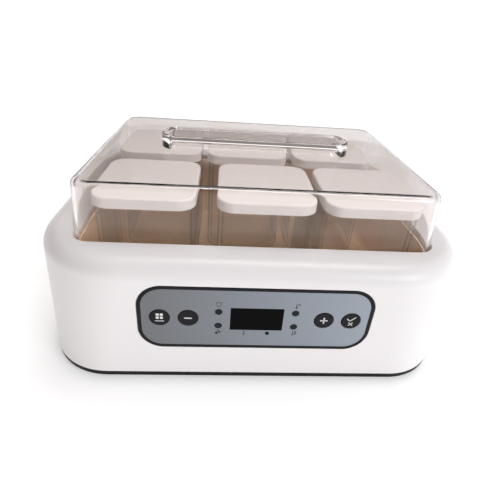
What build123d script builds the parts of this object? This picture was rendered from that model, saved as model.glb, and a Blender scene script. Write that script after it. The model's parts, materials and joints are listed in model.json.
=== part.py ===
"""Yogurt maker: a heated tub in a moulded housing, six capped glass jars and a clear lift-off cover.

Millimetres, +Z up, front towards -Y, origin at the centre of the footprint on the table.
"""
import os

from build123d import *

os.makedirs("parts", exist_ok=True)

# ---- driving dimensions ---------------------------------------------------------------------
# housing
body_width, body_depth = 268.0, 203.5        # outside, at the rim
foot_width, foot_depth = 264.0, 201.0        # outside, where the housing meets the base
rim_corner, foot_corner = 57.0, 42.0         # plan corner radii at the rim and at the base
rim_z, body_z = 87.0, 6.1                    # top of the rim, bottom edge of the housing
rim_round = 10.0
wall = 2.8

# base and feet
base_z, base_plate = 2.0, 2.4
lip_height, lip_wall, lip_play = 4.9, 2.2, 0.4
foot_r, foot_pocket, foot_play = 8.0, 1.2, 0.2
foot_x, foot_y = 100.0, 66.0
boss_x, boss_y, boss_r, boss_z = 95.0, 89.5, 4.0, 10.0
post_x, post_y, post_r = 96.0, 62.0, 4.5

# clear cover
cover_width, cover_depth, cover_corner = 220.4, 155.0, 11.3      # outside, at the bottom edge
cover_top_width, cover_top_depth = 216.5, 150.8
cover_z, cover_top_z, cover_wall, cover_round = 83.4, 122.0, 2.2, 4.0
cover_play = 0.6
grip_length, grip_width, grip_rise, grip_bar, grip_leg = 134.0, 26.4, 9.6, 4.5, 6.2
grip_arch, grip_root = 3.0, 1.6               # rounding of the finger gap, above and below

# tub
tub_width, tub_depth, tub_corner = 216.2, 150.8, 10.5            # outside, just below the flange
tub_sheet, tub_floor_z, tub_taper = 0.8, 30.0, 1.0
tub_bend = 4.8
flange_width, flange_depth, flange_corner = 232.0, 167.0, 18.0
gasket = 1.0

# jars and caps
jar_side, jar_corner, jar_wall, jar_base = 59.6, 10.5, 2.6, 4.0
neck_side, neck_corner, mouth_side, mouth_corner = 57.6, 9.5, 52.4, 7.0
jar_z, shoulder_z, neck_z = 30.2, 101.4, 108.9
cap_side, cap_corner, cap_z, cap_top_z = 61.6, 11.0, 104.0, 110.8
cap_wall, cap_plate, cap_round = 1.5, 1.6, 1.2
plug_side, plug_corner, plug_wall, plug_depth = 51.6, 6.6, 1.2, 4.7
row_y = 38.0
jar_places = {                                # the jars stand loose, so their spacing is uneven
    "front_left": (-69.2, -row_y), "front_middle": (4.8, -row_y), "front_right": (71.4, -row_y),
    "back_left": (-71.0, row_y), "back_middle": (-4.5, row_y), "back_right": (62.5, row_y),
}

# control panel: distances along -Y from the middle of the housing
panel_width, panel_height, panel_corner, panel_z = 137.2, 45.8, 14.5, 51.5
bezel_front, bezel_seat, bezel_border, bezel_play = 101.55, 100.2, 2.1, 0.3
fascia_front, fascia_sheet = 101.3, 0.8
tray_back, plug_back = 98.4, 96.6
window_width, window_height, window_play = 30.8, 16.4, 0.1
button_r, button_play, button_z = 5.7, 0.3, 51.8
button_collar_r, button_collar, button_gap, stem_r, stem_back = 6.9, 1.0, 0.3, 2.5, 95.6
button_names = {"button_function": -56.0, "button_minus": -39.7, "button_plus": 39.7,
                "button_confirm": 56.0}
lamp_x, lamp_pitch, lamp_r, lamp_play = 22.3, 10.4, 2.1, 0.1
board_front, board_sheet, board_width, board_height = 91.0, 1.6, 124.0, 36.0
board_post_x, board_post_pitch, board_post_r = 48.0, 28.0, 2.6
switch_side, switch_body, switch_top = 6.0, 3.5, 94.9

# heating and power parts
mat_width, mat_depth, mat_sheet, pad_sheet = 176.0, 116.0, 1.4, 3.4
sensor_window = (46.0, 26.0)
power_x, power_y, power_width, power_depth, power_z = 44.0, 50.0, 88.0, 46.0, 9.0
inlet_x, inlet_z, inlet_face, inlet_back, pin_pitch, pin_r = 80.0, 22.0, 100.7, 84.0, 8.6, 1.2

tub_under_z = tub_floor_z - tub_sheet
mat_z = tub_under_z - mat_sheet
pad_z = mat_z - pad_sheet
power_top_z = power_z + board_sheet


def save(builder, name):
    """Label a finished sub-part and write its STEP file."""
    builder.part.label = name
    export_step(builder.part, f"parts/{name}.step")


def level(z):
    """A horizontal plane at height z."""
    return Plane.XY.offset(z)


def front(distance):
    """The upright plane that far in front of the middle: local x is +X, local y is +Z."""
    return Plane.XZ.offset(distance)


def corners(x, y):
    """The four points at plus and minus x and y."""
    return [(sx * x, sy * y) for sx in (-1, 1) for sy in (-1, 1)]


# ---- outer housing --------------------------------------------------------------------------
with BuildPart() as housing_hollow:
    with BuildSketch(level(body_z)):
        RectangleRounded(foot_width - 2 * wall, foot_depth - 2 * wall, foot_corner - wall)
    with BuildSketch(level(rim_z - wall)):
        RectangleRounded(body_width - 2 * wall, body_depth - 2 * wall, rim_corner - wall)
    loft()
    fillet(housing_hollow.faces().sort_by(Axis.Z)[-1].edges(), rim_round - wall)

opening = (cover_width + 2 * cover_play, cover_depth + 2 * cover_play)
with BuildPart() as outer_housing:
    with BuildSketch(level(body_z)):
        RectangleRounded(foot_width, foot_depth, foot_corner)
    with BuildSketch(level(rim_z)):
        RectangleRounded(body_width, body_depth, rim_corner)
    loft()
    fillet(outer_housing.faces().sort_by(Axis.Z)[-1].edges(), rim_round)
    add(housing_hollow.part, mode=Mode.SUBTRACT)
    # bosses for the base screws, each with a rib to the wall
    with BuildSketch(level(boss_z)):
        with Locations(*corners(boss_x, boss_y)):
            Circle(boss_r)
    extrude(amount=rim_z - wall - boss_z + 0.3)
    with BuildSketch(level(body_z + lip_height + 1)):
        with Locations(*corners(boss_x, boss_y + 5.6)):
            Rectangle(2.0, 5.0)
    extrude(amount=63.0)
    with BuildSketch(level(boss_z)):
        with Locations(*corners(boss_x, boss_y)):
            Circle(1.55)
    extrude(amount=14.0, mode=Mode.SUBTRACT)
    # mouth that the cover drops into
    with BuildSketch(level(rim_z)):
        RectangleRounded(*opening, cover_corner + cover_play)
    extrude(amount=-2 * wall, mode=Mode.SUBTRACT)
    mouth_edges = outer_housing.faces().sort_by(Axis.Z)[-1].inner_wires()[0].edges()
    fillet(mouth_edges, 0.8)
    # seat and window of the control panel
    with BuildSketch(front(bezel_front + 1)):
        with Locations((0, panel_z)):
            RectangleRounded(panel_width + 2 * bezel_play, panel_height + 2 * bezel_play,
                             panel_corner + bezel_play)
    extrude(amount=bezel_seat - bezel_front - 1, mode=Mode.SUBTRACT)
    with BuildSketch(front(bezel_front)):
        with Locations((0, panel_z)):
            RectangleRounded(panel_width - 2 * bezel_border + 2 * bezel_play,
                             panel_height - 2 * bezel_border + 2 * bezel_play,
                             panel_corner - bezel_border + bezel_play)
    extrude(amount=-6.0, mode=Mode.SUBTRACT)
    # seat and hole of the mains inlet, at the back
    with BuildSketch(front(-inlet_face - 1)):
        with Locations((inlet_x, inlet_z)):
            RectangleRounded(25.4, 15.4, 3.2)
    extrude(amount=2.4, mode=Mode.SUBTRACT)
    with BuildSketch(front(-inlet_face)):
        with Locations((inlet_x, inlet_z)):
            Rectangle(20.6, 11.6)
    extrude(amount=5.0, mode=Mode.SUBTRACT)
save(outer_housing, "outer_housing")

# ---- base pan, feet and screws --------------------------------------------------------------
lip_size = (foot_width - 2 * wall - 2 * lip_play, foot_depth - 2 * wall - 2 * lip_play)
lip_corner = foot_corner - wall - lip_play
power_posts = [(power_x + dx * (power_width / 2 - 4), power_y + dy * (power_depth / 2 - 4))
               for dx in (-1, 1) for dy in (-1, 1)]
with BuildPart() as base_pan:
    with BuildSketch(level(base_z)):
        RectangleRounded(foot_width - 0.4, foot_depth - 0.4, foot_corner - 0.2)
    extrude(amount=body_z - base_z)
    fillet(base_pan.faces().sort_by(Axis.Z)[0].edges(), 1.0)
    with BuildSketch(level(body_z)):
        RectangleRounded(*lip_size, lip_corner)
    extrude(amount=lip_height)
    with BuildSketch(level(base_z + base_plate)):
        RectangleRounded(lip_size[0] - 2 * lip_wall, lip_size[1] - 2 * lip_wall,
                         lip_corner - lip_wall)
    extrude(amount=20.0, mode=Mode.SUBTRACT)
    with BuildSketch(level(base_z + base_plate)):
        with Locations(*corners(boss_x, boss_y)):
            Circle(boss_r + 1)
    extrude(amount=boss_z - base_z - base_plate)
    with BuildSketch(level(base_z + base_plate)):
        with Locations(*corners(post_x, post_y)):
            Circle(post_r)
    extrude(amount=tub_under_z - base_z - base_plate)
    with BuildSketch(level(base_z + base_plate)):
        with Locations(*power_posts):
            Circle(3.0)
    extrude(amount=power_z - base_z - base_plate)
    # counterbored screw holes, pilot holes for the board and pockets for the feet
    with BuildSketch(level(base_z)):
        with Locations(*corners(boss_x, boss_y)):
            Circle(3.3)
    extrude(amount=4.0, mode=Mode.SUBTRACT)
    with BuildSketch(level(base_z)):
        with Locations(*corners(boss_x, boss_y)):
            Circle(1.7)
    extrude(amount=20.0, mode=Mode.SUBTRACT)
    with BuildSketch(level(power_z)):
        with Locations(*power_posts):
            Circle(1.3)
    extrude(amount=-5.0, mode=Mode.SUBTRACT)
    with BuildSketch(level(base_z)):
        with Locations(*corners(foot_x, foot_y)):
            Circle(foot_r + foot_play)
    extrude(amount=foot_pocket, mode=Mode.SUBTRACT)
save(base_pan, "base_pan")

with BuildPart() as rubber_feet:
    with BuildSketch(level(0)):
        with Locations(*corners(foot_x, foot_y)):
            Circle(foot_r)
    extrude(amount=base_z + foot_pocket)
    fillet(rubber_feet.faces().filter_by(Plane.XY).group_by(Axis.Z)[0].edges(), 0.8)
save(rubber_feet, "rubber_feet")

with BuildPart() as base_screws:
    with BuildSketch(level(base_z + 1.6)):
        with Locations(*corners(boss_x, boss_y)):
            Circle(3.0)
    extrude(amount=2.4)
    with BuildSketch(level(base_z + 4.0)):
        with Locations(*corners(boss_x, boss_y)):
            Circle(1.5)
    extrude(amount=16.0)
    with BuildSketch(level(base_z + 1.6)):
        with Locations(*corners(boss_x, boss_y)):
            Rectangle(3.6, 0.8)
            Rectangle(0.8, 3.6)
    extrude(amount=1.4, mode=Mode.SUBTRACT)
save(base_screws, "base_screws")

# ---- tub and its gasket ---------------------------------------------------------------------
flange_top_z = rim_z - wall - gasket
with BuildPart() as tub_hollow:
    with BuildSketch(level(flange_top_z)):
        RectangleRounded(tub_width - 2 * tub_sheet, tub_depth - 2 * tub_sheet,
                         tub_corner - tub_sheet)
    extrude(amount=tub_floor_z - flange_top_z, taper=tub_taper)
    fillet(tub_hollow.faces().sort_by(Axis.Z)[0].edges(), tub_bend - tub_sheet)

with BuildPart() as inner_tub:
    with BuildSketch(level(flange_top_z)):
        RectangleRounded(tub_width, tub_depth, tub_corner)
    extrude(amount=tub_under_z - flange_top_z, taper=tub_taper)
    fillet(inner_tub.faces().sort_by(Axis.Z)[0].edges(), tub_bend)
    with BuildSketch(level(flange_top_z)):
        RectangleRounded(flange_width, flange_depth, flange_corner)
    extrude(amount=-tub_sheet)
    add(tub_hollow.part, mode=Mode.SUBTRACT)
save(inner_tub, "inner_tub")

with BuildPart() as tub_gasket:
    with BuildSketch(level(flange_top_z)):
        RectangleRounded(flange_width, flange_depth, flange_corner)
        RectangleRounded(opening[0] + 2.4, opening[1] + 2.4, cover_corner + cover_play + 1.2,
                         mode=Mode.SUBTRACT)
    extrude(amount=gasket)
save(tub_gasket, "tub_gasket")

# ---- heater, its insulation, the sensor and the thermal fuse --------------------------------
with BuildPart() as heater_mat:
    with BuildSketch(level(mat_z)):
        RectangleRounded(mat_width, mat_depth, 6)
        RectangleRounded(*sensor_window, 3, mode=Mode.SUBTRACT)
    extrude(amount=mat_sheet)
save(heater_mat, "heater_mat")

with BuildPart() as insulation_pad:
    with BuildSketch(level(pad_z)):
        RectangleRounded(mat_width - 4, mat_depth - 4, 6)
        RectangleRounded(*sensor_window, 3, mode=Mode.SUBTRACT)
    extrude(amount=pad_sheet)
save(insulation_pad, "insulation_pad")

with BuildPart() as temperature_sensor:
    with BuildSketch(level(tub_under_z - 0.8)):
        with Locations((-11, 0)):
            RectangleRounded(9, 14, 2)
    extrude(amount=0.8)
    with BuildSketch(front(6)):
        with Locations((-11, tub_under_z - 2.2)):
            Circle(2.0)
    extrude(amount=-12)
save(temperature_sensor, "temperature_sensor")

with BuildPart() as thermal_fuse:
    with BuildSketch(front(5.5)):
        with Locations((11, tub_under_z - 2.0)):
            Circle(2.0)
    extrude(amount=-11)
    with BuildSketch(front(9)):
        with Locations((11, tub_under_z - 2.0)):
            Circle(0.5)
    extrude(amount=-18)
save(thermal_fuse, "thermal_fuse")

# ---- power board and its parts --------------------------------------------------------------
with BuildPart() as power_board:
    with BuildSketch(level(power_z)):
        with Locations((power_x, power_y)):
            RectangleRounded(power_width, power_depth, 2)
        with Locations(*power_posts):
            Circle(1.4, mode=Mode.SUBTRACT)
    extrude(amount=board_sheet)
save(power_board, "power_board")

with BuildPart() as transformer:
    with BuildSketch(level(power_top_z)):
        with Locations((24, 52)):
            Rectangle(19, 16)
    extrude(amount=3.0)
    with BuildSketch(level(power_top_z + 3.0)):
        with Locations((24, 52)):
            Rectangle(19, 6)
    extrude(amount=8.0)
    with BuildSketch(level(power_top_z + 3.0)):
        with Locations((24, 52)):
            RectangleRounded(13, 13, 3)
    extrude(amount=6.6)
save(transformer, "transformer")

with BuildPart() as filter_capacitor:
    with BuildSketch(Plane.YZ.offset(40)):
        with Locations((60, power_top_z + 5.0)):
            Circle(5.0)
    extrude(amount=14)
    fillet(filter_capacitor.faces().filter_by(Plane.YZ).edges(), 0.8)
save(filter_capacitor, "filter_capacitor")

with BuildPart() as heater_relay:
    with BuildSketch(level(power_top_z)):
        with Locations((48, 42)):
            RectangleRounded(19, 15, 1)
    extrude(amount=10.5)
    fillet(heater_relay.faces().sort_by(Axis.Z)[-1].edges(), 0.6)
save(heater_relay, "heater_relay")

connector_places = {"heater": (16, 67), "mains": (inlet_x - 8, 66), "sensor": (14, 34),
                    "control": (30, 32)}
connector_height = 7.0
with BuildPart() as board_connectors:
    with BuildSketch(level(power_top_z)):
        with Locations(*connector_places.values()):
            RectangleRounded(10, 6, 0.6)
    extrude(amount=connector_height)
save(board_connectors, "board_connectors")

# ---- mains inlet ----------------------------------------------------------------------------
with BuildPart() as power_inlet:
    with BuildSketch(front(-inlet_face)):
        with Locations((inlet_x, inlet_z)):
            RectangleRounded(25, 15, 3)
    extrude(amount=1.3)
    fillet(power_inlet.faces().sort_by(Axis.Y)[-1].edges(), 0.4)
    with BuildSketch(front(-inlet_face + 1.3)):
        with Locations((inlet_x, inlet_z)):
            Rectangle(20, 11)
    extrude(amount=inlet_face - 1.3 - inlet_back)
    # snap ribs that hold it behind the wall
    with BuildSketch(front(-97.2)):
        with Locations((inlet_x, inlet_z)):
            Rectangle(8, 13)
    extrude(amount=1.5)
    # figure-of-eight socket
    with BuildSketch(front(-inlet_face)):
        with Locations((inlet_x, inlet_z)):
            SlotOverall(15.4, 7.0)
    extrude(amount=12.0, mode=Mode.SUBTRACT)
    with BuildSketch(front(-inlet_face + 11)):
        with Locations((inlet_x - pin_pitch / 2, inlet_z), (inlet_x + pin_pitch / 2, inlet_z)):
            Circle(pin_r + 0.05)
    extrude(amount=20, mode=Mode.SUBTRACT)
save(power_inlet, "power_inlet")

with BuildPart() as inlet_pins:
    with BuildSketch(front(-inlet_face + 2.5)):
        with Locations((inlet_x - pin_pitch / 2, inlet_z), (inlet_x + pin_pitch / 2, inlet_z)):
            Circle(pin_r)
    extrude(amount=inlet_face - 2.5 - inlet_back + 1.5)
    fillet(inlet_pins.faces().filter_by(Plane.XZ).group_by(Axis.Y)[-1].edges(), 0.5)
save(inlet_pins, "inlet_pins")

# ---- control panel --------------------------------------------------------------------------
lamp_places = [(sx * lamp_x, panel_z + sz * lamp_pitch / 2) for sx in (-1, 1) for sz in (-1, 1)]
button_places = [(x, button_z) for x in button_names.values()]
board_posts = [(sx * board_post_x, panel_z + sz * board_post_pitch / 2)
               for sx in (-1, 1) for sz in (-1, 1)]
tray_size = (panel_width - 2 * bezel_border, panel_height - 2 * bezel_border)
with BuildPart() as panel_bezel:
    with BuildSketch(front(bezel_front)):
        with Locations((0, panel_z)):
            RectangleRounded(panel_width, panel_height, panel_corner)
    extrude(amount=bezel_seat - bezel_front)
    fillet(panel_bezel.faces().sort_by(Axis.Y)[0].edges(), 0.5)
    with BuildSketch(front(bezel_seat)):
        with Locations((0, panel_z)):
            RectangleRounded(*tray_size, panel_corner - bezel_border)
    extrude(amount=plug_back - bezel_seat)
    # snap ribs behind the housing wall
    with BuildSketch(front(97.9)):
        with Locations((-35, panel_z), (35, panel_z)):
            Rectangle(8, tray_size[1] + 2.0)
    extrude(amount=-1.2)
    # shallow tray for the fascia, hollow back, and the holes through the floor between them
    with BuildSketch(front(bezel_front)):
        with Locations((0, panel_z)):
            RectangleRounded(*tray_size, panel_corner - bezel_border)
    extrude(amount=fascia_front - fascia_sheet - bezel_front, mode=Mode.SUBTRACT)
    with BuildSketch(front(tray_back)):
        with Locations((0, panel_z)):
            RectangleRounded(tray_size[0] - 4, tray_size[1] - 4, panel_corner - bezel_border - 2)
    extrude(amount=-10, mode=Mode.SUBTRACT)
    with BuildSketch(front(tray_back)):
        with Locations(*board_posts):
            Circle(board_post_r)
    extrude(amount=board_front - tray_back)
    with BuildSketch(front(bezel_front)):
        with Locations((0, panel_z)):
            Rectangle(window_width - 1.6, window_height - 1.6)
        with Locations(*button_places):
            Circle(button_r + button_play)
        with Locations(*lamp_places):
            Circle(lamp_r + lamp_play)
    extrude(amount=-5, mode=Mode.SUBTRACT)
    with BuildSketch(front(board_front)):
        with Locations(*board_posts):
            Circle(1.3)
    extrude(amount=5, mode=Mode.SUBTRACT)
save(panel_bezel, "panel_bezel")

with BuildPart() as panel_fascia:
    with BuildSketch(front(fascia_front)):
        with Locations((0, panel_z)):
            RectangleRounded(tray_size[0] - 0.2, tray_size[1] - 0.2,
                             panel_corner - bezel_border - 0.1)
            Rectangle(window_width + 2 * window_play, window_height + 2 * window_play,
                      mode=Mode.SUBTRACT)
        with Locations(*button_places):
            Circle(button_r + button_play, mode=Mode.SUBTRACT)
        with Locations(*lamp_places):
            Circle(lamp_r + lamp_play, mode=Mode.SUBTRACT)
    extrude(amount=-fascia_sheet)
save(panel_fascia, "panel_fascia")

with BuildPart() as display_window:
    with BuildSketch(front(fascia_front)):
        with Locations((0, panel_z)):
            Rectangle(window_width, window_height)
    extrude(amount=-fascia_sheet)
save(display_window, "display_window")

with BuildPart() as display_module:
    with BuildSketch(front(100.4)):
        with Locations((0, panel_z)):
            Rectangle(window_width - 2.6, window_height - 2.6)
    extrude(amount=board_front - 100.4)
save(display_module, "display_module")

with BuildPart() as indicator_lenses:
    with BuildSketch(front(fascia_front)):
        with Locations(*lamp_places):
            Circle(lamp_r)
    extrude(amount=97.6 - fascia_front)
    fillet(indicator_lenses.faces().filter_by(Plane.XZ).group_by(Axis.Y)[0].edges(), 0.3)
save(indicator_lenses, "indicator_lenses")

with BuildPart() as indicator_leds:
    with BuildSketch(front(97.3)):
        with Locations(*lamp_places):
            Circle(1.5)
    extrude(amount=board_front - 97.3)
    fillet(indicator_leds.faces().filter_by(Plane.XZ).group_by(Axis.Y)[0].edges(), 1.2)
save(indicator_leds, "indicator_leds")

for name, x in button_names.items():
    with BuildPart() as button:
        with BuildSketch(front(bezel_front)):
            with Locations((x, button_z)):
                Circle(button_r)
        extrude(amount=tray_back - button_gap - button_collar - bezel_front)
        fillet(button.faces().sort_by(Axis.Y)[0].edges(), 0.5)
        with BuildSketch(front(tray_back - button_gap)):
            with Locations((x, button_z)):
                Circle(button_collar_r)
        extrude(amount=-button_collar)
        with BuildSketch(front(tray_back - button_gap - button_collar)):
            with Locations((x, button_z)):
                Circle(stem_r)
        extrude(amount=stem_back - tray_back + button_gap + button_collar)
    save(button, name)

with BuildPart() as button_switches:
    with BuildSketch(front(board_front)):
        with Locations(*button_places):
            Rectangle(switch_side, switch_side)
    extrude(amount=switch_body - 0.2)
    with BuildSketch(front(board_front + switch_body - 0.2)):
        with Locations(*button_places):
            Circle(1.7)
    extrude(amount=switch_top - board_front - switch_body + 0.2)
save(button_switches, "button_switches")

with BuildPart() as control_board:
    with BuildSketch(front(board_front)):
        with Locations((0, panel_z)):
            RectangleRounded(board_width, board_height, 3)
        with Locations(*board_posts):
            Circle(1.4, mode=Mode.SUBTRACT)
    extrude(amount=-board_sheet)
save(control_board, "control_board")

board_back = board_front - board_sheet
with BuildPart() as control_socket:
    with BuildSketch(front(board_back)):
        with Locations((30, 46)):
            Rectangle(11, 6)
    extrude(amount=-5.4)
save(control_socket, "control_socket")

with BuildPart() as board_screws:
    with BuildSketch(front(board_back)):
        with Locations(*board_posts):
            Circle(2.3)
    extrude(amount=-1.8)
    with BuildSketch(front(board_back)):
        with Locations(*board_posts):
            Circle(1.2)
    extrude(amount=5.6)
    with BuildSketch(level(power_top_z)):
        with Locations(*power_posts):
            Circle(2.3)
    extrude(amount=1.8)
    with BuildSketch(level(power_top_z)):
        with Locations(*power_posts):
            Circle(1.2)
    extrude(amount=-5.6)
save(board_screws, "board_screws")

# ---- internal wiring ------------------------------------------------------------------------
connector_top = power_top_z + connector_height
lead_bend = 0.45


def wire(points, radii, wire_r=0.6):
    """Sweep a round wire along straight runs joined by tangent arcs."""
    with BuildLine() as route:
        FilletPolyline(*points, radius=radii)
    start = Plane(origin=route.line @ 0, z_dir=route.line % 0)
    with BuildSketch(start) as section:
        Circle(wire_r)
    sweep(sections=section.sketch, path=route.line)


heater_x, heater_y = connector_places["heater"]
with BuildPart() as heater_leads:
    for x in (heater_x - 2, heater_x + 2):
        wire([(x, mat_depth / 2, mat_z + mat_sheet / 2), (x, heater_y, mat_z + mat_sheet / 2),
              (x, heater_y, connector_top)], lead_bend * (heater_y - mat_depth / 2))
save(heater_leads, "heater_leads")

mains_x, mains_y = connector_places["mains"]
with BuildPart() as inlet_leads:
    for side in (-1, 1):
        pin_x = inlet_x + side * pin_pitch / 2
        wire([(pin_x, inlet_back - 1.5, inlet_z), (pin_x, inlet_back - 6, inlet_z),
              (mains_x + side * 3, mains_y, inlet_z + 0.6),
              (mains_x + side * 3, mains_y, connector_top)], 1.6)
save(inlet_leads, "inlet_leads")

sensor_x, sensor_y = connector_places["sensor"]
sensor_lead_z = tub_under_z - 2.2
with BuildPart() as sensor_lead:
    wire([(-11, 6, sensor_lead_z), (-11, 8.6, sensor_lead_z), (-10, 14, 21.6), (-4, 30, 21.4),
          (sensor_x, sensor_y, 22), (sensor_x, sensor_y, connector_top)], 1.1, wire_r=0.9)
save(sensor_lead, "sensor_lead")

ribbon_x, ribbon_y = connector_places["control"]
ribbon_z, ribbon_front, ribbon_width, ribbon_sheet = 21.6, 79.0, 8.0, 1.0
with BuildPart() as control_ribbon:
    with BuildLine() as ribbon_route:
        FilletPolyline((ribbon_x, ribbon_y, connector_top), (ribbon_x, ribbon_y, ribbon_z),
                       (ribbon_x, -ribbon_front, ribbon_z), (ribbon_x, -ribbon_front, 46),
                       (ribbon_x, -board_back + 5.4, 46), radius=[1.6, 6, 1.8])
    with BuildSketch(Plane(origin=(ribbon_x, ribbon_y, connector_top), x_dir=(1, 0, 0),
                           z_dir=(0, 0, 1))) as ribbon_section:
        Rectangle(ribbon_width, ribbon_sheet)
    sweep(sections=ribbon_section.sketch, path=ribbon_route.line)
save(control_ribbon, "control_ribbon")

# ---- clear cover with its moulded grip ------------------------------------------------------
with BuildPart() as cover_hollow:
    with BuildSketch(level(cover_z)):
        RectangleRounded(cover_width - 2 * cover_wall, cover_depth - 2 * cover_wall,
                         cover_corner - cover_wall)
    with BuildSketch(level(cover_top_z - cover_wall)):
        RectangleRounded(cover_top_width - 2 * cover_wall, cover_top_depth - 2 * cover_wall,
                         cover_corner - cover_wall)
    loft()
    fillet(cover_hollow.faces().sort_by(Axis.Z)[-1].edges(), cover_round - 1.6)

with BuildPart() as clear_cover:
    with BuildSketch(level(cover_z)):
        RectangleRounded(cover_width, cover_depth, cover_corner)
    with BuildSketch(level(cover_top_z)):
        RectangleRounded(cover_top_width, cover_top_depth, cover_corner)
    loft()
    fillet(clear_cover.faces().sort_by(Axis.Z)[-1].edges(), cover_round)
    add(cover_hollow.part, mode=Mode.SUBTRACT)
    # grip: a flat round-ended bar on two short legs
    with BuildSketch(level(cover_top_z - 0.5)):
        SlotOverall(grip_length, grip_width)
    extrude(amount=grip_rise + 0.5)
    fillet(clear_cover.faces().sort_by(Axis.Z)[-1].edges(), 1.0)
    with BuildSketch(front(grip_width)):
        with Locations((0, cover_top_z + (grip_rise - grip_bar) / 2)):
            Rectangle(grip_length - 2 * grip_leg, grip_rise - grip_bar)
    extrude(amount=-2 * grip_width, mode=Mode.SUBTRACT)
    bar_under_z = cover_top_z + grip_rise - grip_bar
    for corner_z, radius in ((bar_under_z, grip_arch), (cover_top_z, grip_root)):
        along_gap = clear_cover.edges().filter_by(Axis.Y)
        fillet(along_gap.filter_by_position(Axis.Z, corner_z - 0.01, corner_z + 0.01), radius)
    # gate mark in the middle of the grip
    with BuildSketch(level(cover_top_z + grip_rise)):
        Ellipse(3.0, 1.8)
    extrude(amount=-0.3, mode=Mode.SUBTRACT)
save(clear_cover, "clear_cover")

# ---- jars and caps --------------------------------------------------------------------------
for place, (x, y) in jar_places.items():
    with BuildPart() as jar_hollow:
        with BuildSketch(level(jar_z + jar_base)):
            with Locations((x, y)):
                RectangleRounded(jar_side - 2 * jar_wall, jar_side - 2 * jar_wall,
                                 jar_corner - jar_wall)
        extrude(amount=shoulder_z - jar_wall - jar_z - jar_base)
        fillet(jar_hollow.faces().sort_by(Axis.Z)[0].edges(), 3.0)
        with BuildSketch(level(neck_z)):
            with Locations((x, y)):
                RectangleRounded(mouth_side, mouth_side, mouth_corner)
        extrude(amount=shoulder_z - 2 * jar_wall - neck_z)

    with BuildPart() as jar:
        with BuildSketch(level(jar_z)):
            with Locations((x, y)):
                RectangleRounded(jar_side, jar_side, jar_corner)
        extrude(amount=shoulder_z - jar_z)
        fillet(jar.faces().sort_by(Axis.Z)[0].edges(), 4.0)
        fillet(jar.faces().sort_by(Axis.Z)[-1].edges(), 0.9)
        with BuildSketch(level(shoulder_z - 1)):
            with Locations((x, y)):
                RectangleRounded(neck_side, neck_side, neck_corner)
        extrude(amount=neck_z - shoulder_z + 1)
        fillet(jar.faces().sort_by(Axis.Z)[-1].edges(), 0.8)
        add(jar_hollow.part, mode=Mode.SUBTRACT)
        fillet(jar.faces().sort_by(Axis.Z)[-1].inner_wires()[0].edges(), 0.6)
    save(jar, f"jar_{place}")

    with BuildPart() as cap:
        with BuildSketch(level(cap_z)):
            with Locations((x, y)):
                RectangleRounded(cap_side, cap_side, cap_corner)
        extrude(amount=cap_top_z - cap_z)
        fillet(cap.faces().sort_by(Axis.Z)[-1].edges(), cap_round)
        with BuildSketch(level(cap_z)):
            with Locations((x, y)):
                RectangleRounded(cap_side - 2 * cap_wall, cap_side - 2 * cap_wall,
                                 cap_corner - cap_wall)
        extrude(amount=cap_top_z - cap_plate - cap_z, mode=Mode.SUBTRACT)
        with BuildSketch(level(cap_top_z - cap_plate)):
            with Locations((x, y)):
                RectangleRounded(plug_side, plug_side, plug_corner)
                RectangleRounded(plug_side - 2 * plug_wall, plug_side - 2 * plug_wall,
                                 plug_corner - plug_wall, mode=Mode.SUBTRACT)
        extrude(amount=-plug_depth)
    save(cap, f"cap_{place}")
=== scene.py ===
"""Looks for the yogurt maker: materials, printed marks, studio and camera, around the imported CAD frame."""
import json
import math

import bmesh
import bpy
from mathutils import Matrix, Vector


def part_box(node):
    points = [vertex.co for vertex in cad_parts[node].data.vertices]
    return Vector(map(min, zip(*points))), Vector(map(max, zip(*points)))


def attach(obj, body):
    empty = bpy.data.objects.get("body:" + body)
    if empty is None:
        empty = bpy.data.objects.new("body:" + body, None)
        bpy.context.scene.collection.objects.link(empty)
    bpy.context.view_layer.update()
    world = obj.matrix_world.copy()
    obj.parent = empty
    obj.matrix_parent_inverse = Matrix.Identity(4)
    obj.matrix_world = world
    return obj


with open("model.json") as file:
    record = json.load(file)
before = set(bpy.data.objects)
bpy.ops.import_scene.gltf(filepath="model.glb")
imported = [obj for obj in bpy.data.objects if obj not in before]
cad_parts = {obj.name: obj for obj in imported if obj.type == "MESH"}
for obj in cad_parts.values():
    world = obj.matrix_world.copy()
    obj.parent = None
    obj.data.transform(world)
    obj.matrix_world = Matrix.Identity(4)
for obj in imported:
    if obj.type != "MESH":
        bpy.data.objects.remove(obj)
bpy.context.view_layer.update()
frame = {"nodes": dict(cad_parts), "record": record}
nodes = frame["nodes"]
MM = 0.001

# ---- camera: the height, turn, tilt and lens of the reference view --------------------------
CAMERA_PLACE = (-0.0230, -0.2693, 0.2087)
CAMERA_TURN, CAMERA_DOWN, CAMERA_ROLL = math.radians(4.64), math.radians(27.8), math.radians(4.4)
camera_data = bpy.data.cameras.new("camera")
camera_data.sensor_width = 36.0
camera_data.lens = 27.56
camera_data.shift_x, camera_data.shift_y = 0.0026, -0.0689
camera_data.clip_start, camera_data.clip_end = 0.01, 50.0
camera = bpy.data.objects.new("camera", camera_data)
bpy.context.scene.collection.objects.link(camera)
camera.matrix_world = (Matrix.Translation(CAMERA_PLACE) @ Matrix.Rotation(-CAMERA_TURN, 4, "Z")
                       @ Matrix.Rotation(math.pi / 2 - CAMERA_DOWN, 4, "X")
                       @ Matrix.Rotation(CAMERA_ROLL, 4, "Z"))
bpy.context.scene.camera = camera


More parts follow.
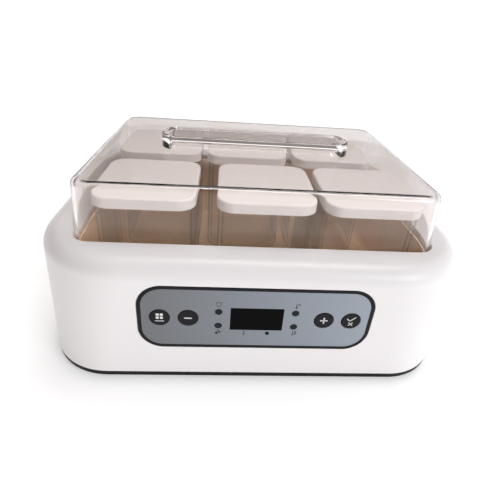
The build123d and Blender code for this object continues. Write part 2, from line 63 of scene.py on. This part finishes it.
# ---- material building blocks ---------------------------------------------------------------
class Surface:
    """A node material: a principled shader that noise can vary in colour, roughness and bump."""

    def __init__(self, name, colour, roughness, **constants):
        self.material = bpy.data.materials.new(name)
        self.material.use_nodes = True
        self.tree = self.material.node_tree
        self.shader = self.tree.nodes["Principled BSDF"]
        self.shader.inputs["Base Color"].default_value = (*colour, 1.0)
        self.shader.inputs["Roughness"].default_value = roughness
        for socket, value in constants.items():
            self.shader.inputs[socket.replace("_", " ")].default_value = value
        self.colour, self.roughness = colour, roughness
        self.place = self.tree.nodes.new("ShaderNodeTexCoord").outputs["Object"]
        self.normal = None

    def noise(self, scale, stretch=(1, 1, 1), detail=3.0):
        """A noise value over the object's own space, per metre, stretched along the axes."""
        mapping = self.tree.nodes.new("ShaderNodeMapping")
        mapping.inputs["Scale"].default_value = stretch
        texture = self.tree.nodes.new("ShaderNodeTexNoise")
        texture.inputs["Scale"].default_value = scale
        texture.inputs["Detail"].default_value = detail
        self.tree.links.new(self.place, mapping.inputs["Vector"])
        self.tree.links.new(mapping.outputs["Vector"], texture.inputs["Vector"])
        return texture.outputs["Fac"]

    def vary_colour(self, value, other, low=0.35, high=0.65):
        """Blend from the base colour to another where the value is high."""
        ramp = self.tree.nodes.new("ShaderNodeValToRGB")
        ramp.color_ramp.elements[0].position, ramp.color_ramp.elements[1].position = low, high
        ramp.color_ramp.elements[0].color = (*self.colour, 1.0)
        ramp.color_ramp.elements[1].color = (*other, 1.0)
        self.tree.links.new(value, ramp.inputs["Fac"])
        self.tree.links.new(ramp.outputs["Color"], self.shader.inputs["Base Color"])
        return self

    def paint_light_along_x(self, start, end, value, other, share):
        """Paint light along X: change slowly to another colour from start to end along X, with the value
        mixed in.
        """
        split = self.tree.nodes.new("ShaderNodeSeparateXYZ")
        along = self.tree.nodes.new("ShaderNodeMapRange")
        along.inputs["From Min"].default_value, along.inputs["From Max"].default_value = start, end
        blend = self.tree.nodes.new("ShaderNodeMix")
        blend.inputs["Factor"].default_value = share
        self.tree.links.new(self.place, split.inputs["Vector"])
        self.tree.links.new(split.outputs["X"], along.inputs["Value"])
        self.tree.links.new(along.outputs["Result"], blend.inputs["A"])
        self.tree.links.new(value, blend.inputs["B"])
        return self.vary_colour(blend.outputs["Result"], other, 0.1, 0.95)

    def vary_roughness(self, value, spread):
        """Let the roughness wander by the spread each way."""
        span = self.tree.nodes.new("ShaderNodeMapRange")
        span.inputs["From Min"].default_value, span.inputs["From Max"].default_value = 0.3, 0.7
        span.inputs["To Min"].default_value = max(0.0, self.roughness - spread)
        span.inputs["To Max"].default_value = self.roughness + spread
        self.tree.links.new(value, span.inputs["Value"])
        self.tree.links.new(span.outputs["Result"], self.shader.inputs["Roughness"])
        return self

    def bump(self, value, height, strength=1.0):
        """Raise the surface by the value; several bumps add up."""
        node = self.tree.nodes.new("ShaderNodeBump")
        node.inputs["Strength"].default_value = strength
        node.inputs["Distance"].default_value = height
        self.tree.links.new(value, node.inputs["Height"])
        if self.normal is not None:
            self.tree.links.new(self.normal, node.inputs["Normal"])
        self.normal = node.outputs["Normal"]
        self.tree.links.new(self.normal, self.shader.inputs["Normal"])
        return self

    def lit_through(self, tint):
        """Let lamp light pass to what stands behind, as it does through a clear wall."""
        path = self.tree.nodes.new("ShaderNodeLightPath")
        clear = self.tree.nodes.new("ShaderNodeBsdfTransparent")
        clear.inputs["Color"].default_value = (*tint, 1.0)
        mix = self.tree.nodes.new("ShaderNodeMixShader")
        output = self.tree.nodes["Material Output"]
        self.tree.links.new(path.outputs["Is Shadow Ray"], mix.inputs["Fac"])
        self.tree.links.new(self.shader.outputs["BSDF"], mix.inputs[1])
        self.tree.links.new(clear.outputs["BSDF"], mix.inputs[2])
        self.tree.links.new(mix.outputs["Shader"], output.inputs["Surface"])
        return self


def plastic(name, colour, roughness, grain=900.0, height=0.00002, shine=0.5):
    """Moulded plastic: a faint mottle, a fine grain and slow waves from the mould."""
    made = Surface(name, colour, roughness, IOR=1.49, Specular_IOR_Level=shine)
    darker = tuple(0.97 * c for c in colour)
    made.vary_colour(made.noise(9.0, detail=0.0), darker, 0.1, 0.9)
    made.bump(made.noise(grain, detail=2.0), height, 0.35)
    return made.bump(made.noise(22.0, detail=1.0), 0.0003, 0.05).material


def metal(name, colour, roughness, brushed=(1, 1, 1), tone=0.9, metallic=1.0):
    """Metal with fine lines along the axis that isn't stretched."""
    made = Surface(name, colour, roughness, Metallic=metallic)
    lines = made.noise(260.0, brushed, 4.0)
    made.vary_colour(lines, tuple(tone * c for c in colour))
    made.vary_roughness(lines, 0.2 * roughness)
    return made.bump(lines, 0.00002, 0.3).material


def clear(name, tint, roughness, ior, waviness):
    """Clear plastic or glass with a slightly wavy skin."""
    made = Surface(name, tint, roughness, IOR=ior, Transmission_Weight=1.0)
    made.vary_roughness(made.noise(35.0), roughness)
    made.bump(made.noise(30.0, detail=1.0), waviness, 0.2)
    return made.lit_through(tuple(0.5 + 0.5 * c for c in tint)).material


def thin_clear(name, face_on, edge_shade, shine, roughness, waviness):
    """A thin clear wall: see-through face on, shinier where it turns away, and darkened there with painted
    shade that stands in for the dark edges that refraction gives real glass.
    """
    made = Surface(name, (0.95, 0.95, 0.96), roughness, Metallic=1.0)
    made.vary_roughness(made.noise(35.0), 0.5 * roughness)
    made.bump(made.noise(30.0, detail=1.0), waviness, 0.2)
    turned = made.tree.nodes.new("ShaderNodeLayerWeight")
    turned.inputs["Blend"].default_value = 0.5
    # painted shade: the see-through colour greys where the wall turns away from view
    tone = made.tree.nodes.new("ShaderNodeValToRGB")
    tone.color_ramp.elements[0].position, tone.color_ramp.elements[1].position = 0.60, 1.0
    tone.color_ramp.elements[0].color = (*face_on, 1.0)
    tone.color_ramp.elements[1].color = (*edge_shade, 1.0)
    gleam = made.tree.nodes.new("ShaderNodeMapRange")
    gleam.inputs["From Min"].default_value, gleam.inputs["From Max"].default_value = 0.4, 1.0
    gleam.inputs["To Min"].default_value, gleam.inputs["To Max"].default_value = shine
    see = made.tree.nodes.new("ShaderNodeBsdfTransparent")
    mix = made.tree.nodes.new("ShaderNodeMixShader")
    links = made.tree.links
    links.new(turned.outputs["Facing"], tone.inputs["Fac"])
    links.new(turned.outputs["Facing"], gleam.inputs["Value"])
    links.new(tone.outputs["Color"], see.inputs["Color"])
    links.new(gleam.outputs["Result"], mix.inputs["Fac"])
    links.new(see.outputs["BSDF"], mix.inputs[1])
    links.new(made.shader.outputs["BSDF"], mix.inputs[2])
    links.new(mix.outputs["Shader"], made.tree.nodes["Material Output"].inputs["Surface"])
    return made.material


def cloudy(name, colour, roughness, other, scale, height, **constants):
    """A rougher stuff with visible cloud, such as felt, silicone or board laminate."""
    made = Surface(name, colour, roughness, **constants)
    made.vary_colour(made.noise(scale), other)
    made.vary_roughness(made.noise(2 * scale), 0.1)
    return made.bump(made.noise(4 * scale), height, 0.5).material


sheet_low, sheet_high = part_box("panel_fascia")


def fascia_sheet(name):
    """Satin silver paint on a plastic sheet: fine upright grain, soft mirror of the room, and a painted
    reflection of the light from the right that makes the sheet lighter and bluer towards its right end.
    """
    made = Surface(name, (0.16, 0.17, 0.183), 0.36, Metallic=0.6)
    grain = made.noise(500.0, (0.25, 1.0, 5.0), 3.0)
    # painted reflection: the sheet turns lighter and bluer towards its right end, as if the light from the
    # right fell on it
    made.paint_light_along_x(sheet_low.x, sheet_high.x, grain, (0.30, 0.335, 0.385), 0.12)
    made.vary_roughness(grain, 0.05)
    return made.bump(made.noise(2500.0), 0.00001, 0.25).material


materials = {
    "white_plastic": plastic("white_plastic", (0.84, 0.815, 0.82), 0.3, height=0.000004),
    "cap_plastic": plastic("cap_plastic", (0.82, 0.775, 0.755), 0.34, grain=1400.0),
    "black_plastic": plastic("black_plastic", (0.008, 0.008, 0.009), 0.5, grain=2500.0,
                             height=0.00006, shine=0.15),
    "black_gloss": plastic("black_gloss", (0.011, 0.011, 0.013), 0.3, shine=0.12),
    "window_dark": plastic("window_dark", (0.003, 0.0025, 0.003), 0.25, shine=0.03),
    "lens_dark": plastic("lens_dark", (0.010, 0.011, 0.016), 0.2, shine=0.15),
    "foot_rubber": cloudy("foot_rubber", (0.03, 0.03, 0.03), 0.75, (0.05, 0.05, 0.05), 400.0,
                          0.00005),
    "silicone": cloudy("silicone", (0.35, 0.08, 0.03), 0.55, (0.42, 0.11, 0.05), 120.0, 0.00004),
    "felt": cloudy("felt", (0.62, 0.6, 0.55), 0.95, (0.42, 0.4, 0.36), 900.0, 0.0003,
                   Sheen_Weight=0.4),
    "board_green": cloudy("board_green", (0.015, 0.11, 0.03), 0.4, (0.02, 0.16, 0.05), 220.0,
                          0.00003),
    "component_dark": cloudy("component_dark", (0.03, 0.03, 0.033), 0.5, (0.05, 0.05, 0.052),
                             500.0, 0.00003),
    "connector_white": cloudy("connector_white", (0.7, 0.66, 0.55), 0.5, (0.62, 0.58, 0.48),
                              300.0, 0.00002),
    "wire_cover": cloudy("wire_cover", (0.55, 0.54, 0.5), 0.5, (0.45, 0.44, 0.41), 300.0,
                         0.00002),
    "tub_metal": metal("tub_metal", (0.95, 0.67, 0.44), 0.45, (1.0, 1.0, 0.06), 0.9, 0.15),
    "steel_screw": metal("steel_screw", (0.62, 0.61, 0.6), 0.3),
    "sensor_metal": metal("sensor_metal", (0.66, 0.66, 0.67), 0.35),
    "contact_brass": metal("contact_brass", (0.78, 0.6, 0.3), 0.28),
    "fascia_grey": fascia_sheet("fascia_grey"),
    "clear_plastic": clear("clear_plastic", (0.90, 0.875, 0.865), 0.012, 1.45, 0.0003),
    # jar glass: the grey second colour is painted shade at the turned-away edges of the walls
    "jar_glass": thin_clear("jar_glass", (0.985, 0.985, 0.98), (0.38, 0.40, 0.38),
                            (0.03, 0.45), 0.05, 0.0004),
    "print_white": plastic("print_white", (0.72, 0.72, 0.73), 0.45),
    "print_dark": plastic("print_dark", (0.03, 0.032, 0.04), 0.45),
}
for part in frame["record"]["subparts"]:
    node = nodes[part["node"]]
    node.data.materials.clear()
    node.data.materials.append(materials[part["material_slot"]])

# ---- printed marks: thin raised prints on the buttons and the fascia -------------------------
PRINT = 0.03 * MM


def rounded(width, height, radius, steps=6):
    """Outline of a rounded rectangle about the origin."""
    points = []
    for quarter, (sx, sz) in enumerate(((1, 1), (-1, 1), (-1, -1), (1, -1))):
        cx, cz = sx * (width / 2 - radius), sz * (height / 2 - radius)
        for step in range(steps + 1):
            angle = math.pi / 2 * (quarter + step / steps)
            points.append((cx + radius * math.cos(angle), cz + radius * math.sin(angle)))
    return points


def bar(start, end, width):
    """Outline of a round-ended bar from one point to another."""
    run = Vector(end) - Vector(start)
    angle = math.atan2(run.y, run.x)
    middle = (Vector(start) + Vector(end)) / 2
    turn = Matrix.Rotation(angle, 2)
    return [tuple(middle + turn @ Vector(p))
            for p in rounded(run.length + width, width, 0.49 * width)]


def ring(radius, width, steps=40):
    """Outline of a circle's line, cut open at the right so that it is one loop."""
    turns = [2 * math.pi * i / steps for i in range(steps + 1)]
    outer = [((radius + width / 2) * math.cos(a), (radius + width / 2) * math.sin(a)) for a in turns]
    inner = [((radius - width / 2) * math.cos(a), (radius - width / 2) * math.sin(a)) for a in turns]
    return outer + inner[::-1]


def moved(outline, dx, dz):
    return [(x + dx, z + dz) for x, z in outline]


def printed(name, outlines, x, z, face_y, body, material):
    """Thin solid prints, given in millimetres about (x, z), on an upright face."""
    mesh = bpy.data.meshes.new(name)
    bm = bmesh.new()
    for outline in outlines:
        corners = [bm.verts.new((x + px * MM, face_y, z + pz * MM)) for px, pz in outline]
        face = bm.faces.new(corners)
        raised = bmesh.ops.extrude_face_region(bm, geom=[face])["geom"]
        lifted = [v for v in raised if isinstance(v, bmesh.types.BMVert)]
        bmesh.ops.translate(bm, verts=lifted, vec=(0, -PRINT, 0))
    bmesh.ops.remove_doubles(bm, verts=bm.verts, dist=1e-7)
    bmesh.ops.recalc_face_normals(bm, faces=bm.faces)
    bm.to_mesh(mesh)
    bm.free()
    piece = bpy.data.objects.new(name, mesh)
    bpy.context.scene.collection.objects.link(piece)
    mesh.materials.append(materials[material])
    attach(piece, body)
    return piece


four_squares = [moved(rounded(1.75, 1.75, 0.45), sx * 1.15, 1.1 + sz * 1.15)
                for sx in (-1, 1) for sz in (-1, 1)]
button_marks = {
    "button_function": four_squares + [moved(rounded(5.2, 0.5, 0.2), 0, -2.5)],
    "button_minus": [bar((-1.9, 0), (1.9, 0), 0.8)],
    "button_plus": [bar((-1.9, 0), (1.9, 0), 0.85), bar((0, -1.9), (0, 1.9), 0.85)],
    "button_confirm": [bar((-2.4, 1.6), (-0.7, 0.1), 0.6), bar((-0.7, 0.1), (2.4, 2.9), 0.6),
                       bar((-1.1, -3.2), (1.1, -1.2), 0.55), bar((-1.1, -1.2), (1.1, -3.2), 0.55)],
}
for button, outlines in button_marks.items():
    low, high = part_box(button)
    printed(button + "_mark", outlines, (low.x + high.x) / 2, (low.z + high.z) / 2, low.y,
            button + "_body", "print_white")

cup = [[(-1.5, 1.3), (-1.1, -1.4), (1.1, -1.4), (1.5, 1.3), (1.1, 1.3), (0.8, -1.0), (-0.8, -1.0),
        (-1.1, 1.3)], rounded(3.6, 0.4, 0.15)]
cup[1] = moved(cup[1], 0, 1.6)
bubbles = [moved(ring(0.75, 0.35), -0.9, -0.5), moved(ring(0.55, 0.32), 0.9, 0.2),
           moved(ring(0.4, 0.3), 0.1, 1.35)]
thermometer = [bar((0, -0.4), (0, 1.5), 0.55), moved(rounded(1.2, 1.2, 0.59), 0, -1.1)]
one_dot = [moved(ring(0.45, 0.25), 1.5, 1.2)]
two_dots = one_dot + [moved(ring(0.45, 0.25), 1.5, -0.2)]
clock = [ring(1.15, 0.3), bar((0, 0), (0, 0.75), 0.25), bar((0, 0), (0.5, -0.3), 0.25)]
window_low, window_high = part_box("display_window")
lamp_low, lamp_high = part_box("indicator_lenses")
lamp_radius = 2.1 * MM
lamp_x = (lamp_high.x - lamp_low.x) / 2 - lamp_radius
mark_gap, window_gap = 3.1 * MM, 2.4 * MM
above, below = lamp_high.z + mark_gap, lamp_low.z - mark_gap
under_window = window_low.z - window_gap
fascia_marks = {
    "mark_cup": (cup, -lamp_x, above), "mark_bubbles": (bubbles, -lamp_x, below),
    "mark_scale_one": (thermometer + one_dot, lamp_x, above),
    "mark_scale_two": (thermometer + two_dots, lamp_x, below),
    "mark_heat": (thermometer, 0.45 * window_low.x, under_window),
    "mark_time": (clock, 0.45 * window_high.x, under_window),
}
for name, (outlines, x, z) in fascia_marks.items():
    printed(name, outlines, x, z, sheet_low.y, "housing", "print_dark")

# ---- studio: pale sweep, pale room and soft lamps --------------------------------------------
sweep = bpy.data.meshes.new("studio_floor")
bm = bmesh.new()
half_width, near, far, bend, height = 4.0, -4.0, 1.6, 0.3, 0.5
profile = [(near, 0.0), (far - bend, 0.0)]
profile += [(far - bend + bend * math.sin(a), bend - bend * math.cos(a))
            for a in (math.pi / 2 * i / 16 for i in range(1, 17))] + [(far, height)]
rails = [[bm.verts.new((side * half_width, y, z)) for y, z in profile] for side in (-1, 1)]
for i in range(len(profile) - 1):
    bm.faces.new((rails[0][i], rails[1][i], rails[1][i + 1], rails[0][i + 1]))
for face in bm.faces:
    face.smooth = True
bm.to_mesh(sweep)
bm.free()
floor = bpy.data.objects.new("studio_floor", sweep)
bpy.context.scene.collection.objects.link(floor)
floor_look = Surface("studio_paper", (0.9, 0.895, 0.895), 0.9, Emission_Color=(1, 1, 1, 1),
                     Emission_Strength=0.4)
floor_look.vary_colour(floor_look.noise(3.0), (0.89, 0.885, 0.885))
sweep.materials.append(floor_look.material)

world = bpy.data.worlds.new("room")
world.use_nodes = True
room = world.node_tree
sky = room.nodes["Background"]
direction = room.nodes.new("ShaderNodeTexCoord")
split = room.nodes.new("ShaderNodeSeparateXYZ")
room.links.new(direction.outputs["Generated"], split.inputs["Vector"])


def room_tones(axis, low, high, stops):
    """A colour ramp along one axis of the room, between two values of the view direction."""
    span = room.nodes.new("ShaderNodeMapRange")
    span.inputs["From Min"].default_value, span.inputs["From Max"].default_value = low, high
    ramp = room.nodes.new("ShaderNodeValToRGB")
    for spare, (position, colour) in enumerate(stops):
        if spare > 1:
            ramp.color_ramp.elements.new(position)
        ramp.color_ramp.elements[spare].position = position
        ramp.color_ramp.elements[spare].color = (*colour, 1.0)
    room.links.new(split.outputs[axis], span.inputs["Value"])
    room.links.new(span.outputs["Result"], ramp.inputs["Fac"])
    return ramp.outputs["Color"]


sideways = room_tones("X", -1.0, 1.0, [(0.1, (0.2, 0.155, 0.115)), (0.9, (0.97, 0.98, 1.0))])
upward = room_tones("Z", 0.0, 1.0, [(0.1, (1, 1, 1)), (1.0, (0.62, 0.6, 0.6)),
                                    (0.26, (0.36, 0.34, 0.34))])
both = room.nodes.new("ShaderNodeMix")
both.data_type, both.blend_type = "RGBA", "MULTIPLY"
both.inputs["Factor"].default_value = 1.0
room.links.new(sideways, both.inputs["A"])
room.links.new(upward, both.inputs["B"])
room.links.new(both.outputs["Result"], sky.inputs["Color"])
sky.inputs["Strength"].default_value = 1.0
bpy.context.scene.world = world


def lamp(name, place, target, size, power, colour):
    """A soft square lamp aimed at a point."""
    data = bpy.data.lights.new(name, "AREA")
    data.shape, data.size, data.size_y = "RECTANGLE", size[0], size[1]
    data.energy, data.color = power, colour
    made = bpy.data.objects.new(name, data)
    bpy.context.scene.collection.objects.link(made)
    made.location = place
    aim = Vector(target) - Vector(place)
    made.rotation_mode = "QUATERNION"
    made.rotation_quaternion = aim.to_track_quat("-Z", "Y")


middle = (0.0, 0.0, 0.06)
lamp("window_light", (1.15, -1.25, 0.9), middle, (1.0, 1.0), 13.8, (0.93, 0.97, 1.0))
lamp("room_light", (-0.2, -1.6, 0.5), middle, (1.2, 1.2), 2.6, (1.0, 0.94, 0.9))
lamp("back_light", (0.3, 0.6, 1.8), middle, (1.4, 0.8), 11.0, (1.0, 0.99, 0.98))
lamp("paper_light", (0.0, 0.4, 2.4), (0.0, 0.9, 0.2), (3.0, 1.5), 15.0, (1.0, 1.0, 1.0))

bpy.context.scene.view_settings.view_transform = "Standard"
bpy.context.scene.cycles.max_bounces = 28
bpy.context.scene.cycles.transmission_bounces = 28
bpy.context.scene.cycles.transparent_max_bounces = 28
